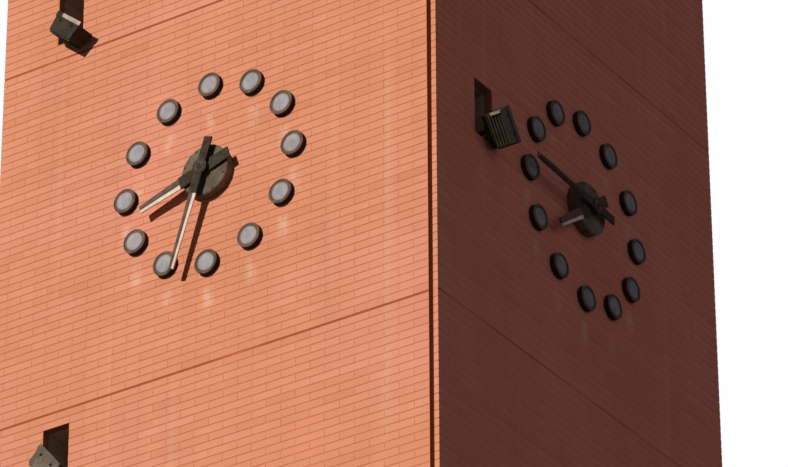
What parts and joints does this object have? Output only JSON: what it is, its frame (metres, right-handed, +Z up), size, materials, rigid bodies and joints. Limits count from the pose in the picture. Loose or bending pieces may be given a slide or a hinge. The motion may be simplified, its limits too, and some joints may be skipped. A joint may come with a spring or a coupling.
{
  "type": "clock tower",
  "caption": "Square hollow brick clock tower with an upright groove beside two corners, stair slots, floodlights and a clock of raised round hour marks on each face, with turning hands.",
  "frame": {"origin": "centre of the foot of the tower, on the ground", "axes": "+Z up, -Y out of the front face, +X out of the right face"},
  "size_m": [4.262, 4.262, 24.58],
  "materials": {
    "brick": "red-orange facing brick in thin level courses with recessed mortar joints",
    "concrete": "plain grey cast concrete",
    "zinc": "weathered grey sheet zinc",
    "hub_metal": "brown-grey weathered sheet metal",
    "hand_metal": "satin metal with a ridge that catches the sun",
    "lamp_metal": "dark painted metal, dusty on top"
  },
  "bodies": {
    "tower": {"floor_slabs": "concrete", "roof_slab": "concrete", "coping": "concrete", "door_frame": "lamp_metal", "door_leaf": "lamp_metal", "front_left_pier": "brick", "front_right_pier": "brick", "back_right_pier": "brick", "back_left_pier": "brick", "front_wall_low": "brick", "right_wall_low": "brick", "back_wall_low": "brick", "left_wall_low": "brick", "front_wall_mid": "brick", "right_wall_mid": "brick", "back_wall_mid": "brick", "left_wall_mid": "brick", "front_wall_top": "brick", "right_wall_top": "brick", "back_wall_top": "brick", "left_wall_top": "brick", "front_hub_plate": "hub_metal", "right_hub_plate": "hub_metal", "back_hub_plate": "hub_metal", "left_hub_plate": "hub_metal", "front_hour_marks": "zinc", "right_hour_marks": "zinc", "back_hour_marks": "zinc", "left_hour_marks": "zinc", "front_floodlights": "lamp_metal", "right_floodlights": "lamp_metal", "back_floodlights": "lamp_metal", "left_floodlights": "lamp_metal", "front_lamp_arms": "lamp_metal", "right_lamp_arms": "lamp_metal", "back_lamp_arms": "lamp_metal", "left_lamp_arms": "lamp_metal"},
    "front_minute_hand": {"front_minute_hand": "hand_metal"},
    "front_hour_hand": {"front_hour_hand": "hand_metal"},
    "right_minute_hand": {"right_minute_hand": "hand_metal"},
    "right_hour_hand": {"right_hour_hand": "hand_metal"},
    "back_minute_hand": {"back_minute_hand": "hand_metal"},
    "back_hour_hand": {"back_hour_hand": "hand_metal"},
    "left_minute_hand": {"left_minute_hand": "hand_metal"},
    "left_hour_hand": {"left_hour_hand": "hand_metal"}
  },
  "joints": [
    {"name": "front_minute_turn", "type": "hinge", "parent": "tower", "child": "front_minute_hand", "pos_m": [0, -1.935, 19.54], "axis": [0, 1, 0], "continuous": true},
    {"name": "front_hour_turn", "type": "hinge", "parent": "tower", "child": "front_hour_hand", "pos_m": [0, -1.935, 19.54], "axis": [0, 1, 0], "continuous": true},
    {"name": "right_minute_turn", "type": "hinge", "parent": "tower", "child": "right_minute_hand", "pos_m": [1.935, 0, 19.54], "axis": [-1, 0, 0], "continuous": true},
    {"name": "right_hour_turn", "type": "hinge", "parent": "tower", "child": "right_hour_hand", "pos_m": [1.935, 0, 19.54], "axis": [-1, 0, 0], "continuous": true},
    {"name": "back_minute_turn", "type": "hinge", "parent": "tower", "child": "back_minute_hand", "pos_m": [0, 1.935, 19.54], "axis": [0, -1, 0], "continuous": true},
    {"name": "back_hour_turn", "type": "hinge", "parent": "tower", "child": "back_hour_hand", "pos_m": [0, 1.935, 19.54], "axis": [0, -1, 0], "continuous": true},
    {"name": "left_minute_turn", "type": "hinge", "parent": "tower", "child": "left_minute_hand", "pos_m": [-1.935, 0, 19.54], "axis": [1, 0, 0], "continuous": true},
    {"name": "left_hour_turn", "type": "hinge", "parent": "tower", "child": "left_hour_hand", "pos_m": [-1.935, 0, 19.54], "axis": [1, 0, 0], "continuous": true}
  ],
  "couplings": [
    {"joint": "front_hour_turn", "follows": "front_minute_turn", "ratio": 0.083333},
    {"joint": "right_hour_turn", "follows": "right_minute_turn", "ratio": 0.083333},
    {"joint": "back_hour_turn", "follows": "back_minute_turn", "ratio": 0.083333},
    {"joint": "left_hour_turn", "follows": "left_minute_turn", "ratio": 0.083333}
  ]
}
